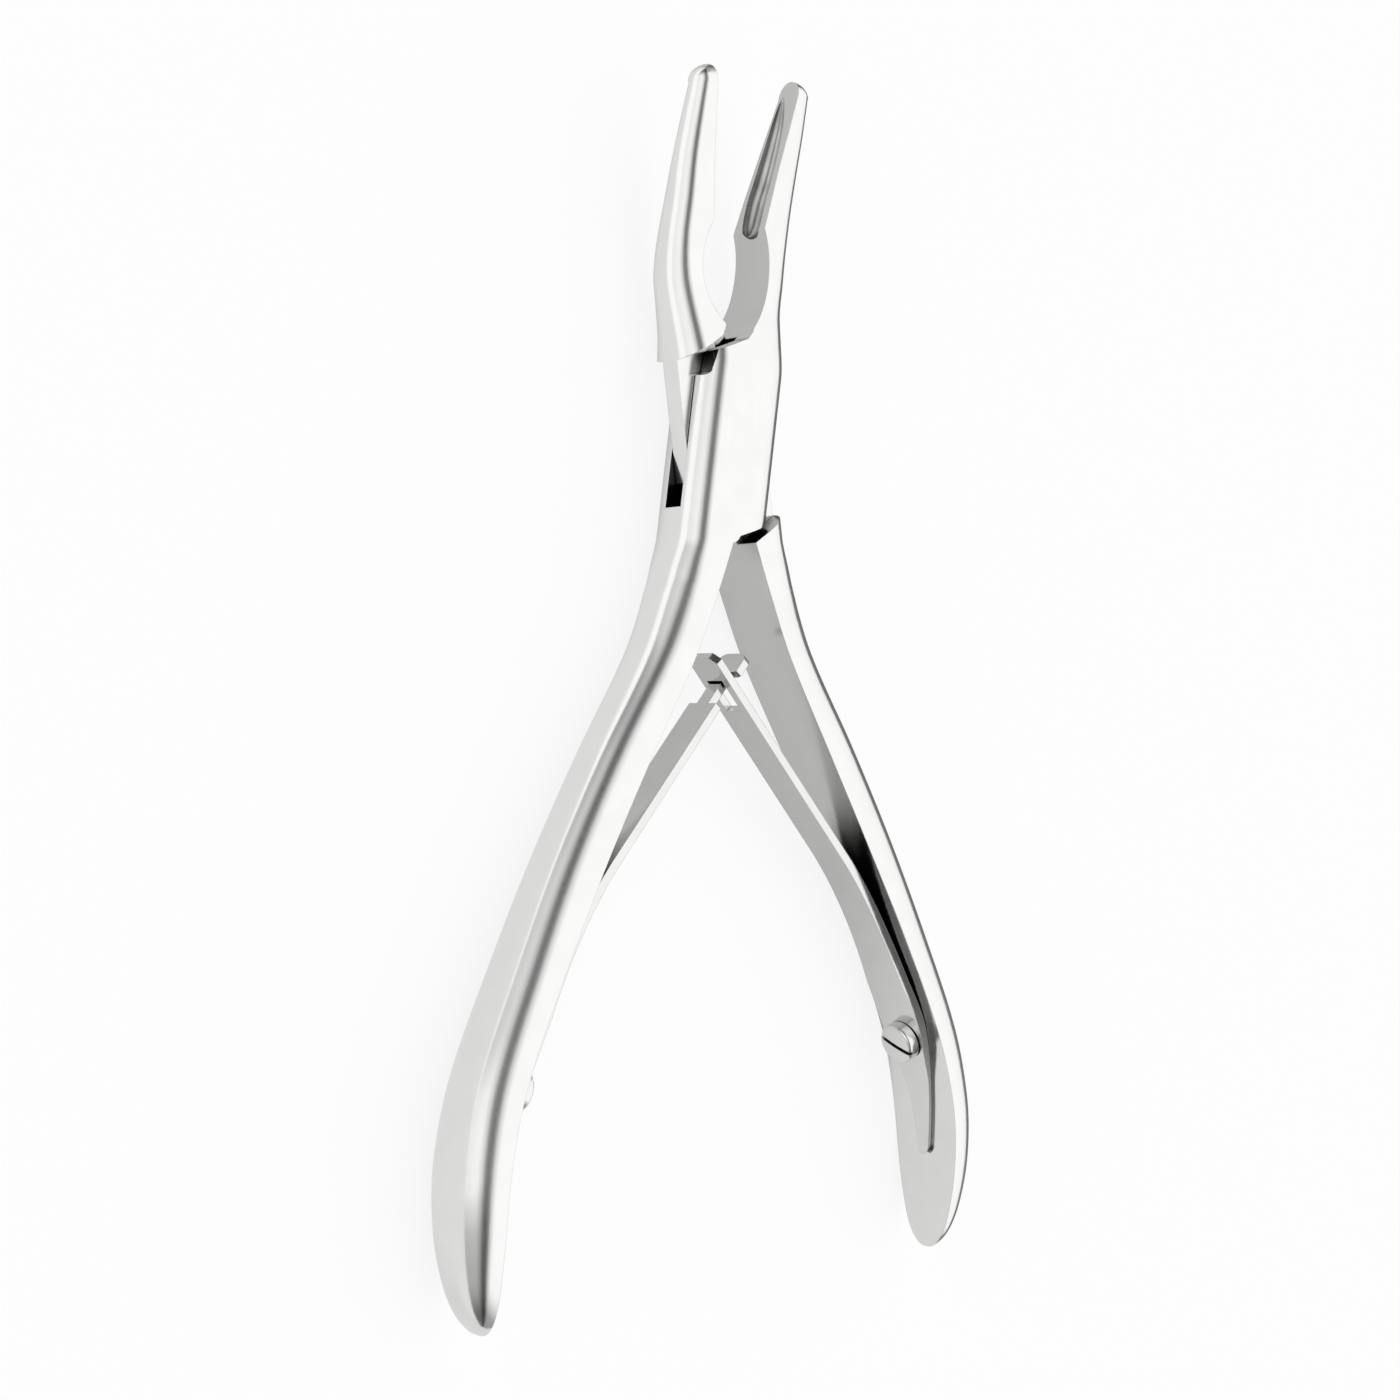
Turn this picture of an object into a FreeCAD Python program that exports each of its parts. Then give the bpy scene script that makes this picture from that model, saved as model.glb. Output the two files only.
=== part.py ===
"""Double-spring bone rongeur with a box-lock joint, lying open on its back, sizes in millimetres.

The pieces are drawn with the handles squeezed shut, the pivot at the origin, X across,
Y towards the jaws and Z up towards the side that the jaws are bent to.
Each half is then turned open about the pivot and set down on the table.
"""
import FreeCAD, Part
import math
import os

V = FreeCAD.Vector

# Overall reach and the swing between the jaws shut and the springs' rest
jaw_reach = 42.6
handle_reach = 98.85
open_angle = 16.6

# The box: half width across, half thickness along the pivot, outer corner radius
box_half_width = 5.85
box_half_thick = 4.4
box_corner = 3.2
box_top = 9.0
box_foot = 11.0

# The lock: the slot through the box and the neck that turns in it
neck_thick = 2.5
neck_side_gap = 0.1
neck_edge_outer = 3.0
neck_edge_inner = 10.4
neck_edge_inset = 0.1
slot_edge_outer = 7.5
slot_edge_inner = 10.75
slot_throat_gap = 0.3

# The shoulders of the lock: the left jaw's over the box, the right handle's under it
crest_height = 13.9
crest_inset = 0.15
shoulder_inner = 12.9
shoulder_inner_inset = 0.9
shoulder_outer = 10.7
shoulder_gap = 0.3
cheek_end_inner = 10.14
cheek_end_outer = 7.35
cheek_end_start = 0.76
cheek_end_bulge = 0.12
handle_shoulder_gap = 0.5
crotch_drop = 10.7
crotch_inset = 0.15
notch_depth = 0.9
notch_foot = 6.9
notch_round = 0.7

# The pin through both cheeks and the neck
pin_diameter = 4.2
pin_running_gap = 0.04

# The jaws: the gap between the edges, the throat under them, the domed tip, the spoon
edge_gap = 0.1
edge_heel = 25.7
throat_foot = 14.2
throat_half_width = 1.95
dome_height = 1.85
dome_corner = 0.8
spoon_width = 2.95
spoon_depth = 1.35

# The handles: the spread of the inner faces, the thickness, the flats the tool lies on
handle_spread = 21.0
handle_thick = 5.2
handle_corner = 3.1
grip_half_width = 5.3
grip_flat = 0.05
nose_start = 88.0
nose_fullness = 0.38

# The springs: where the straight blade's tip and root lie as shares of the handles' spread and
# reach, then blade, foot, tongue with its head, window
blade_tip = (-0.262, 0.226)
blade_root = (0.497, 0.484)
spring_tip_thick = 0.95
spring_foot_thick = 1.3
spring_seat_gap = 0.03
blade_half_width = 2.35
foot_half_width = 3.2
foot_widest = 55.0
foot_shoulder = 60.5
foot_shoulder_half_width = 2.2
foot_end = 68.6
foot_end_radius = 0.9
tongue_half_width = 1.0
tongue_root = 7.4
head_length = 2.8
head_half_width = 2.3
head_round = 1.2
window_start = 3.3
window_end = 7.8
window_half_width = 1.3
slotted_chamfer = 0.9

# The spring screws
screw_reach = 72.7
screw_head_diameter = 5.0
screw_head_height = 1.5
screw_head_bevel = 0.45
screw_head_gap = 0.1
screw_shank_diameter = 2.2
screw_shank_depth = 3.0
screw_hole_gap = 0.1
screw_slot_width = 0.4
screw_slot_depth = 0.7
right_screw_turn = -25.0
left_screw_turn = 40.0

# Reach of the cutting shapes past the tool, and sections filled in between the drawn ones
far = 20.0
loft_steps = 2


def line(a, b):
    return Part.makeLine(a, b)


def arc(a, b, c):
    return Part.Arc(a, b, c).toShape()


def spline(points):
    curve = Part.BSplineCurve()
    curve.interpolate(points)
    return curve


def chain(points):
    """Straight edges from point to point."""
    return [line(a, b) for a, b in zip(points, points[1:])]


def prism(edges, low, high):
    """A solid between two heights from a closed outline in the XY plane."""
    face = Part.Face(Part.Wire(Part.__sortEdges__(edges)))
    face.translate(V(0, 0, low))
    return face.extrude(V(0, 0, high - low))


def polygon(points, low, high):
    return prism(chain(points + points[:1]), low, high)


def mirrored(shape):
    return shape.mirror(V(0, 0, 0), V(1, 0, 0))


def rounded_wire(y, left, right, low, high, corner):
    """A rounded rectangle square to the tool's length."""
    k = corner * (1 - math.sqrt(0.5))
    corners = (
        (V(right - corner, y, low), V(right - k, y, low + k), V(right, y, low + corner)),
        (V(right, y, high - corner), V(right - k, y, high - k), V(right - corner, y, high)),
        (V(left + corner, y, high), V(left + k, y, high - k), V(left, y, high - corner)),
        (V(left, y, low + corner), V(left + k, y, low + k), V(left + corner, y, low)),
    )
    edges = []
    for number, (a, b, c) in enumerate(corners):
        edges.append(arc(a, b, c))
        edges.append(line(c, corners[(number + 1) % 4][0]))
    return Part.Wire(edges)


def eased(rows, steps):
    """Fill in rows between the given ones, on smooth curves over their first column."""
    filled = []
    for number in range(len(rows) - 1):
        before = rows[max(number - 1, 0)]
        a = rows[number]
        b = rows[number + 1]
        after = rows[min(number + 2, len(rows) - 1)]
        for step in range(steps):
            t = step / steps
            row = [a[0] + t * (b[0] - a[0])]
            for column in range(1, len(a)):
                leave = (b[column] - before[column]) / (b[0] - before[0]) * (b[0] - a[0])
                arrive = (after[column] - a[column]) / (after[0] - a[0]) * (b[0] - a[0])
                drop = a[column] - b[column]
                bend = t * t * (3 - 2 * t)
                row.append(a[column] - bend * drop + t * (1 - t) * ((1 - t) * leave - t * arrive))
            filled.append(row)
    return filled + [rows[-1]]


# Outer forms

def box_form():
    w = box_half_width
    h = box_half_thick
    wire = rounded_wire(-box_foot, -w, w, -h, h, box_corner)
    return Part.Face(wire).extrude(V(0, box_foot + box_top, 0))


def jaw_form():
    """The right jaw, from the top of the box to its domed tip, bent towards the front."""
    w = box_half_width
    h = box_half_thick
    # share of the rise, outer side, back, front, corner radius
    stations = (
        (0.0, w, -h, h, box_corner),
        (0.0635, w, -h + 0.04, h - 0.04, box_corner),
        (0.159, w - 0.2, -h + 0.7, h - 0.75, 2.7),
        (0.254, w - 0.33, -h + 0.8, h - 1.35, 2.4),
        (0.36, w - 0.35, -h + 1.1, h - 1.5, 2.2),
        (0.476, w - 0.8, -h + 1.9, h - 1.2, 2.0),
        (0.609, w - 1.5, -h + 3.2, h - 0.4, 1.9),
        (0.746, w - 2.07, -h + 4.74, h + 0.47, 1.8),
        (0.878, w - 2.75, -h + 6.3, h + 1.5, 1.7),
        (1.0, w - 3.5, -h + 7.75, h + 2.4, 1.6),
    )
    rise = jaw_reach - dome_height - box_top
    wires = []
    for share, outer, low, high, corner in eased(stations, loft_steps):
        wires.append(rounded_wire(box_top + share * rise, -w, outer, low, high, corner))
    middle = (low + high) / 2
    for turn in (22, 40, 54, 66, 76, 84, 89):
        shrink = math.cos(math.radians(turn))
        y = jaw_reach - dome_height * (1 - math.sin(math.radians(turn)))
        half = shrink * (high - low) / 2
        round_off = min(corner, dome_corner * half)
        wires.append(rounded_wire(y, -w, shrink * outer, middle - half, middle + half, round_off))
    return Part.makeLoft(wires, True, True)


def inner_face():
    """The flat inner face of the right handle, seen from the front."""
    # share of the reach, share of the spread
    shares = ((0.165, 0.068), (0.245, 0.17), (0.366, 0.388), (0.488, 0.602), (0.61, 0.796),
              (0.732, 0.957), (0.82, 1.0), (0.9, 0.974), (1.02, 0.886))
    points = [V(across * handle_spread, -along * handle_reach, 0) for along, across in shares]
    return spline([V(crotch_inset, -crotch_drop, 0)] + points)


def at_depth(curve, y):
    """The parameter where a curve that runs down passes one height, found by halving."""
    low = curve.FirstParameter
    high = curve.LastParameter
    for _ in range(50):
        middle = (low + high) / 2
        if curve.value(middle).y > y:
            low = middle
        else:
            high = middle
    return low


def handle_form():
    """The right handle, from the box to its tongue-shaped end, wider on the inside."""
    w = box_half_width
    h = box_half_thick
    inner = inner_face()
    # share of the reach, share of the thickness, share of the grip's width
    stations = [(0.132, 1.054, 0.828), (0.148, 1.013, 0.826), (0.165, 0.97, 0.825),
                (0.245, 0.913, 0.81), (0.366, 1.0, 0.797), (0.488, 1.0, 0.82),
                (0.61, 0.927, 0.887), (0.732, 0.885, 0.943), (0.82, 0.855, 1.0),
                (nose_start / handle_reach, 0.775, 0.906)]
    last, thick, wide = stations[-1]
    stations = eased(stations, loft_steps)
    for turn in (25, 45, 62, 75, 84):
        rise = math.sin(math.radians(turn))
        shrink = (1 - rise ** 2) ** nose_fullness
        stations.append((last + (1 - last) * rise, thick * shrink, wide * shrink))
    wires = [rounded_wire(-box_foot, -w, w, -h, h, box_corner)]
    for along, deep, across in stations:
        y = -along * handle_reach
        x = inner.value(at_depth(inner, y)).x
        half = across * grip_half_width
        corner = min(handle_corner, 0.72 * half)
        left = x - handle_corner - 0.5
        wires.append(rounded_wire(y, left, x + deep * handle_thick, -half, half, corner))
    return Part.makeLoft(wires, True, True)


def finished_handle():
    """The right handle with its grip ground flat, front and back."""
    reach = grip_half_width - grip_flat
    slab = Part.makeBox(4 * far, 2 * handle_reach, 2 * reach, V(-2 * far, -2 * handle_reach, -reach))
    return handle_form().common(slab)


# Regions that part the two halves, as prisms square to the front

def jaw_region(side, drop):
    """The space left of a jaw edge and above the shoulder of the left jaw."""
    edge = side * edge_gap / 2
    top = jaw_reach + far
    slope = (shoulder_inner - shoulder_outer) / (box_half_width - shoulder_inner_inset)
    reach = box_half_width + 3
    foot = V(edge, throat_foot, 0)
    heel = V(edge, edge_heel, 0)
    belly = V(side * throat_half_width, (throat_foot + edge_heel) / 2, 0)
    low = V(-reach, shoulder_outer - 3 * slope - drop, 0)
    points = [V(-far, top, 0), V(-far, low.y, 0), low]
    points.append(V(-shoulder_inner_inset, shoulder_inner - drop, 0))
    points.append(V(-crest_inset, crest_height - drop, 0))
    points.append(foot)
    ends = [heel, V(edge, top, 0), V(-far, top, 0)]
    return prism(chain(points) + [arc(foot, belly, heel)] + chain(ends), -far, far)


def handle_region(side, drop):
    """The space right of a handle's inner face and below the end of the right cheek."""
    slope = (cheek_end_inner - cheek_end_outer) / box_half_width
    deep = -1.02 * handle_reach
    inner = inner_face().toShape()
    tail = V(side * 0.886 * handle_spread, deep, 0)
    if side < 0:
        inner = mirrored(inner)
    start = V(cheek_end_start, drop_line(cheek_end_start, slope, drop), 0)
    outer = V(2 * far, drop_line(2 * far, slope, drop), 0)
    crotch = V(side * crotch_inset, -crotch_drop, 0)
    edges = chain([tail, V(2 * far, deep, 0), outer, start])
    if side > 0:
        edges += chain([start, V(crotch_inset, drop_line(crotch_inset, slope, drop), 0), crotch])
    else:
        edges.append(arc(start, (start + crotch) * 0.5 + V(cheek_end_bulge, -cheek_end_bulge, 0), crotch))
    return prism(edges + [inner], -far, far)


def drop_line(x, slope, drop):
    """The height of the cheek's lower end line, lowered by a gap."""
    return slope * x - cheek_end_inner - drop


def neck_region():
    w = box_half_width
    reach = w + 2
    inset = neck_edge_inset
    points = [V(-reach, -neck_edge_outer, 0), V(-w, -neck_edge_outer, 0)]
    points.append(V(-inset, -neck_edge_inner, 0))
    points.append(V(1.5, -crotch_drop - 1.8, 0))
    points.append(V(reach, -crotch_drop - 1.8, 0))
    points.append(V(reach, neck_edge_outer, 0))
    points.append(V(w, neck_edge_outer, 0))
    points.append(V(inset, neck_edge_inner, 0))
    points.append(V(-crest_inset, crest_height, 0))
    points.append(V(-1.2, crest_height + 1.1, 0))
    points.append(V(-reach, crest_height + 1.1, 0))
    return polygon(points, -neck_thick / 2, neck_thick / 2)


def slot_region():
    """The slot through the box that the neck sits and turns in."""
    w = box_half_width
    reach = w + 2
    slope = (slot_edge_inner - slot_edge_outer) / w
    right = slot_throat_gap + edge_gap / 2
    half = neck_thick / 2 + neck_side_gap
    points = [V(-reach, slope * reach - slot_edge_inner, 0)]
    points.append(V(-crotch_inset, slope * crotch_inset - slot_edge_inner, 0))
    points.append(V(0, -crotch_drop - 3, 0))
    points.append(V(reach, -crotch_drop - 3, 0))
    points.append(V(reach, slot_edge_inner - slope * reach, 0))
    points.append(V(right, slot_edge_inner - slope * right, 0))
    points.append(V(right, throat_foot + 0.5, 0))
    points.append(V(-reach, throat_foot + 0.5, 0))
    return polygon(points, -half, half)


def notch():
    """The relief with a round foot at the upper left corner of the box."""
    inner = box_half_width - notch_depth
    r = notch_round
    k = r * math.sqrt(0.5)
    a = V(-inner, notch_foot + r, 0)
    b = V(-inner - r + k, notch_foot + r - k, 0)
    c = V(-inner - r, notch_foot, 0)
    points = [c, V(-far, notch_foot, 0), V(-far, shoulder_inner, 0), V(-inner, shoulder_inner, 0), a]
    return prism([arc(a, b, c)] + chain(points), -far, far)


def spoon():
    """The hollow in the right jaw's inner face: a curved trough that comes to a point at the top."""
    # share of the rise, distance in front of the pivot, share of the half width, share of the depth
    stations = (
        (0.469, 1.0, 0.2, 0.12),
        (0.479, 0.93, 0.64, 0.52),
        (0.506, 0.87, 0.94, 0.89),
        (0.551, 0.95, 1.0, 1.0),
        (0.61, 1.3, 0.98, 1.0),
        (0.685, 2.0, 0.91, 0.96),
        (0.759, 2.65, 0.81, 0.85),
        (0.833, 3.25, 0.67, 0.7),
        (0.893, 3.68, 0.48, 0.48),
        (0.934, 3.95, 0.26, 0.24),
        (0.95, 4.05, 0.08, 0.05),
    )
    wires = []
    for share, z, across, deep in stations:
        centre = V(edge_gap / 2, box_top + share * (jaw_reach - box_top), z)
        side = centre + V(0, 0, across * spoon_width / 2)
        bottom = centre + V(deep * spoon_depth, 0, 0)
        wires.append(Part.Wire(Part.Ellipse(side, bottom, centre).toShape()))
    return Part.makeLoft(wires, True, True)


def finished_jaw():
    return jaw_form().cut(spoon())


# Springs

def spring_back():
    """The side of the right spring that lies on the handle, from the foot's end to the tip."""
    inner = inner_face()
    points = []
    for depth in (0.895, 0.82, 0.76, 0.70, 0.645):
        place = at_depth(inner, -depth * handle_reach)
        along = inner.tangent(place)[0]
        points.append(inner.value(place) + V(along.y, -along.x, 0) * spring_seat_gap)
    tip, root = blade_ends()
    for share in (1.0, 0.67, 0.33, 0.0):
        points.append(tip + (root - tip) * share)
    return spline(points)


def blade_ends():
    """The tip and the root of the straight blade, on the side facing the handle."""
    tip = V(blade_tip[0] * handle_spread, -blade_tip[1] * handle_reach, 0)
    root = V(blade_root[0] * handle_spread, -blade_root[1] * handle_reach, 0)
    return tip, root


def spring_blank():
    """The bent strip, thinner towards the tip, wider than the finished spring."""
    back = spring_back()
    steps = 12
    front = []
    for step in range(steps + 1):
        share = step / steps
        place = back.FirstParameter + share * (back.LastParameter - back.FirstParameter)
        along = back.tangent(place)[0]
        thick = spring_foot_thick + share * (spring_tip_thick - spring_foot_thick)
        front.append(back.value(place) + V(-along.y, along.x, 0) * thick)
    first = back.value(back.FirstParameter)
    last = back.value(back.LastParameter)
    edges = [back.toShape(), spline(front).toShape(), line(first, front[0]), line(last, front[-1])]
    return prism(edges, -foot_half_width - 1, foot_half_width + 1)


def spring_side(start):
    """The right edge of the spring's plan, from one distance behind the tip to the foot's end."""
    tip, root = blade_ends()
    points = [V((root - tip).Length, blade_half_width, 0)]
    wider = foot_half_width - blade_half_width
    points.append(V(foot_widest - 13, blade_half_width + 0.35 * wider, 0))
    points.append(V(foot_widest - 5, blade_half_width + 0.9 * wider, 0))
    points.append(V(foot_widest + 1, foot_half_width, 0))
    curve = Part.BSplineCurve()
    curve.interpolate(Points=points, InitialTangent=V(1, 0, 0), FinalTangent=V(1, 0, 0))
    shoulder = V(foot_shoulder, foot_shoulder_half_width, 0)
    middle = V(foot_shoulder - 1.6, foot_shoulder_half_width + 0.72, 0)
    tail = V(foot_end - foot_end_radius, foot_end_radius, 0)
    return [line(V(start, blade_half_width, 0), points[0]), curve.toShape(),
            arc(points[-1], middle, shoulder), line(shoulder, tail)]


def spring_plan(edges, end):
    """Close one side of a plan by its mirror image and the round end of the foot."""
    other = [edge.mirror(V(0, 0, 0), V(0, 1, 0)) for edge in edges]
    tail = V(foot_end - foot_end_radius, foot_end_radius, 0)
    cap = arc(tail, V(foot_end, 0, 0), V(tail.x, -tail.y, 0))
    return prism(edges + other + [cap, line(end, V(end.x, -end.y, 0))], -far, far)


def tongue_plan():
    r = head_round
    k = r * (1 - math.sqrt(0.5))
    head = head_half_width
    top = V(0, head - r, 0)
    corner = arc(top, V(k, head - k, 0), V(r, head, 0))
    small = head_length - 0.5
    under = arc(V(small, head, 0), V(head_length - 0.15, head - 0.15, 0), V(head_length, head - 0.5, 0))
    rest = [V(head_length, head - 0.5, 0), V(head_length, tongue_half_width, 0),
            V(tongue_root, tongue_half_width, 0), V(tongue_root, blade_half_width, 0)]
    edges = [corner, line(V(r, head, 0), V(small, head, 0)), under] + chain(rest)
    return spring_plan(edges + spring_side(tongue_root), top)


def slotted_plan():
    top = V(0, blade_half_width - slotted_chamfer, 0)
    edges = [line(top, V(slotted_chamfer, blade_half_width, 0))]
    plan = spring_plan(edges + spring_side(slotted_chamfer), top)
    w = window_half_width
    points = [V(window_start, -w, 0), V(window_end, -w, 0), V(window_end, w, 0), V(window_start, w, 0)]
    return plan.cut(polygon(points, -far, far))


def lay_on_blade(shape):
    """Move a plan drawn from the tip along X onto the plane of the straight blade."""
    origin, root = blade_ends()
    d = (root - origin).normalize()
    shape.Placement = FreeCAD.Placement(FreeCAD.Matrix(
        d.x, 0, d.y, origin.x,
        d.y, 0, -d.x, origin.y,
        0, 1, 0, 0,
        0, 0, 0, 1))
    return shape


def seat():
    """The frame of the right spring's screw: the face of the handle and the way out of it."""
    inner = inner_face()
    place = at_depth(inner, -screw_reach)
    along = inner.tangent(place)[0]
    return inner.value(place), V(along.y, -along.x, 0)


def on_seat(shape):
    """Move a shape drawn along Z from the origin onto the screw's seat."""
    point, out = seat()
    up = V(out.y, -out.x, 0)
    shape.Placement = FreeCAD.Placement(FreeCAD.Matrix(
        0, up.x, out.x, point.x,
        0, up.y, out.y, point.y,
        1, 0, 0, 0,
        0, 0, 0, 1))
    return shape


def screw_hole(gap):
    radius = screw_shank_diameter / 2 + gap
    deep = screw_shank_depth + 0.2
    return on_seat(Part.makeCylinder(radius, deep + 4, V(0, 0, -deep)))


def spring_screw(turn):
    radius = screw_head_diameter / 2
    under = spring_seat_gap + spring_foot_thick + screw_head_gap
    head = Part.makeCylinder(radius, screw_head_height, V(0, 0, under))
    rim = [edge for edge in head.Edges if edge.Closed and edge.CenterOfMass.z > under + 0.1]
    head = head.makeChamfer(screw_head_bevel, rim)
    top = under + screw_head_height
    corner = V(-far / 2, -screw_slot_width / 2, top - screw_slot_depth)
    groove = Part.makeBox(far, screw_slot_width, far, corner)
    groove.rotate(V(0, 0, 0), V(0, 0, 1), turn)
    foot = V(0, 0, -screw_shank_depth)
    shank = Part.makeCylinder(screw_shank_diameter / 2, under + screw_shank_depth, foot)
    return on_seat(head.cut(groove).fuse(shank))


def spring(plan):
    return spring_blank().common(lay_on_blade(plan)).cut(screw_hole(screw_hole_gap))


# The two halves and the pin

def box_half():
    """Right jaw, box with its slot, left handle."""
    shape = finished_jaw().fuse(box_form()).fuse(mirrored(finished_handle()))
    shape = shape.cut(jaw_region(1, shoulder_gap))
    shape = shape.cut(handle_region(-1, 0))
    shape = shape.cut(slot_region())
    shape = shape.cut(notch())
    shape = shape.cut(mirrored(screw_hole(0)))
    return shape.cut(bore(pin_diameter / 2))


def insert_half():
    """Left jaw, neck, right handle."""
    shape = mirrored(finished_jaw()).fuse(box_form()).fuse(finished_handle())
    keep = jaw_region(-1, 0).fuse(handle_region(1, handle_shoulder_gap)).fuse(neck_region())
    shape = shape.common(keep)
    shape = shape.cut(screw_hole(0))
    return shape.cut(bore(pin_diameter / 2 + pin_running_gap))


def bore(radius):
    return Part.makeCylinder(radius, 2 * far, V(0, 0, -far))


def pivot_pin():
    h = box_half_thick
    return Part.makeCylinder(pin_diameter / 2, 2 * h, V(0, 0, -h))


def opened(shape, side):
    """Turn a piece drawn shut to where it rests, about the pivot."""
    turned = shape.copy()
    turned.rotate(V(0, 0, 0), V(0, 0, 1), side * open_angle / 2)
    return turned


def main():
    left = -1
    right = 1
    nodes = {
        "box_half": opened(box_half(), left),
        "pivot_pin": opened(pivot_pin(), left),
        "tongue_spring": opened(mirrored(spring(tongue_plan())), left),
        "left_spring_screw": opened(mirrored(spring_screw(left_screw_turn)), left),
        "insert_half": opened(insert_half(), right),
        "slotted_spring": opened(spring(slotted_plan()), right),
        "right_spring_screw": opened(spring_screw(right_screw_turn), right),
    }
    whole = Part.makeCompound(list(nodes.values())).optimalBoundingBox(True, False)
    shift = V(0, -(whole.YMin + whole.YMax) / 2, -whole.ZMin)
    os.makedirs("parts", exist_ok=True)
    for name, shape in nodes.items():
        shape.translate(shift)
        shape.exportStep("parts/" + name + ".step")


main()
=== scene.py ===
import bmesh
import bpy
from math import atan2, cos, pi, radians, sin, sqrt
from mathutils import Matrix, Vector


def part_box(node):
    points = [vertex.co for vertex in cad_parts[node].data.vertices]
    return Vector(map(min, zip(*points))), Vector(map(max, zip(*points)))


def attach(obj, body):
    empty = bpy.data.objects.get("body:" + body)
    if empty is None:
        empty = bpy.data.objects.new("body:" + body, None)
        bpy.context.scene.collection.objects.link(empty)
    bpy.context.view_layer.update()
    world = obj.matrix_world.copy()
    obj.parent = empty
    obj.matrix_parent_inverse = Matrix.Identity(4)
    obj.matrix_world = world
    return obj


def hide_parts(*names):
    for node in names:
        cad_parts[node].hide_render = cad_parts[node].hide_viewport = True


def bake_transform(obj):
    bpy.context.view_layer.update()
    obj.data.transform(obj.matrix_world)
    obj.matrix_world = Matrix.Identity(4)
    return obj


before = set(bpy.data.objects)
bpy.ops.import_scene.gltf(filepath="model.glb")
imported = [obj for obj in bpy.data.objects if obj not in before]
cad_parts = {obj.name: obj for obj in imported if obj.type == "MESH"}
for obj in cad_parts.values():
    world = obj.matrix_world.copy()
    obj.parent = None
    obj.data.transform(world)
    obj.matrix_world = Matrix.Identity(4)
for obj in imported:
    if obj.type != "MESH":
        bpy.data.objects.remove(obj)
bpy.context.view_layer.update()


# The camera. It stands round to the left of the front, level with a point just under the box,
# 276 mm away, and sees 32 degrees.
pin_low, pin_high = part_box("pivot_pin")
pivot = Vector([(low + high) / 2 for low, high in zip(pin_low, pin_high)])
round_from_front = radians(39.6)
away = 0.2756
aim = Vector((-0.00293, pivot.y - 0.0282, pivot.z))
out = Vector((-sin(round_from_front), 0, cos(round_from_front)))
up = Vector((0, 1, 0))
lens = bpy.data.cameras.new("camera")
lens.angle = radians(32.05)
lens.clip_start = 0.01
camera = bpy.data.objects.new("camera", lens)
bpy.context.collection.objects.link(camera)
turned_round = Matrix((up.cross(out), up, out)).transposed().to_4x4()
camera.matrix_world = Matrix.Translation(aim + away * out) @ turned_round
bpy.context.scene.camera = camera
bpy.context.scene.view_settings.view_transform = "Standard"


# The light tent. White cloth stands round the tool, with a dark gap in it where the lens looks
# in, and it is open past the tool's two ends. The world holds the cloth as bands about the
# tool's length.
def linear(code):
    """An sRGB hex colour as linear RGBA."""
    parts = [int(code[place:place + 2], 16) / 255 for place in (1, 3, 5)]
    return [c / 12.92 if c <= 0.04045 else ((c + 0.055) / 1.055) ** 2.4 for c in parts] + [1]


def add(tree, kind, inputs=None, **settings):
    """Add a node. Inputs are numbers, colours, sockets, or nodes whose first output is meant."""
    node = tree.nodes.new(kind if "Node" in kind else "ShaderNode" + kind)
    for name, value in settings.items():
        setattr(node, name, value)
    for name, value in (inputs or {}).items():
        if isinstance(value, bpy.types.Node):
            value = value.outputs[0]
        if isinstance(value, bpy.types.NodeSocket):
            tree.links.new(value, node.inputs[name])
        else:
            node.inputs[name].default_value = value
    return node


def fill_ramp(ramp, stops):
    """Set a ramp's grey levels from pairs of place and level."""
    while len(ramp.elements) < len(stops):
        ramp.elements.new(1)
    for element, (place, level) in zip(ramp.elements, stops):
        element.position = place
        element.color = (level, level, level, 1)


# degrees round from straight above, towards the camera's side, and the cloth's brightness
cloth = ((-180, 0.9), (-90, 1.0), (-75, 1.15), (-45, 1.2), (-8, 1.2), (4, 0.85), (13, 0.3), (20, 0.2),
         (28, 0.28), (40, 0.85), (52, 1.15), (90, 1.05), (180, 0.9))
brightest = 1.2
# how far a direction leans to the tool's ends, from -1 to 1, and how much light the camera's side keeps
camera_side = ((-1, 0.45), (-0.6, 0.45), (-0.32, 0.55), (-0.12, 1), (0.3, 1), (0.47, 0.72), (1, 0.6))
# the same for the open ends, both alike
open_ends = ((0, 1), (0.62, 1), (0.85, 0.35), (1, 0.3))
tent = bpy.data.worlds.new("light_tent")
tent.use_nodes = True
bpy.context.scene.world = tent
tree = tent.node_tree
tree.nodes.clear()
ray = add(tree, "SeparateXYZ", {0: add(tree, "TexCoord").outputs["Generated"]}).outputs
leftwards = add(tree, "Math", {0: ray["X"], 1: -1.0}, operation="MULTIPLY")
bearing = add(tree, "Math", {0: leftwards, 1: ray["Z"]}, operation="ARCTAN2")
whole_turn = add(tree, "MapRange", {"Value": bearing, "From Min": -pi, "From Max": pi})
bands = add(tree, "ValToRGB", {0: whole_turn})
bands.color_ramp.interpolation = "EASE"
fill_ramp(bands.color_ramp, [((degree + 180) / 360, level / brightest) for degree, level in cloth])
leaning = add(tree, "MapRange", {"Value": ray["Y"], "From Min": -1.0, "From Max": 1.0})
kept = add(tree, "ValToRGB", {0: leaning})
fill_ramp(kept.color_ramp, [((lean + 1) / 2, level) for lean, level in camera_side])
sideways = add(tree, "MapRange", {"Value": bearing, "From Min": 0.0, "From Max": radians(25)},
               interpolation_type="SMOOTHSTEP")
near = add(tree, "Mix", {0: sideways, 2: 1.0, 3: kept})
lean = add(tree, "Math", {0: ray["Y"]}, operation="ABSOLUTE")
ends = add(tree, "ValToRGB", {0: lean})
fill_ramp(ends.color_ramp, open_ends)
level = add(tree, "Math", {0: bands, 1: near}, operation="MULTIPLY")
level = add(tree, "Math", {0: level, 1: ends}, operation="MULTIPLY")
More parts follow.
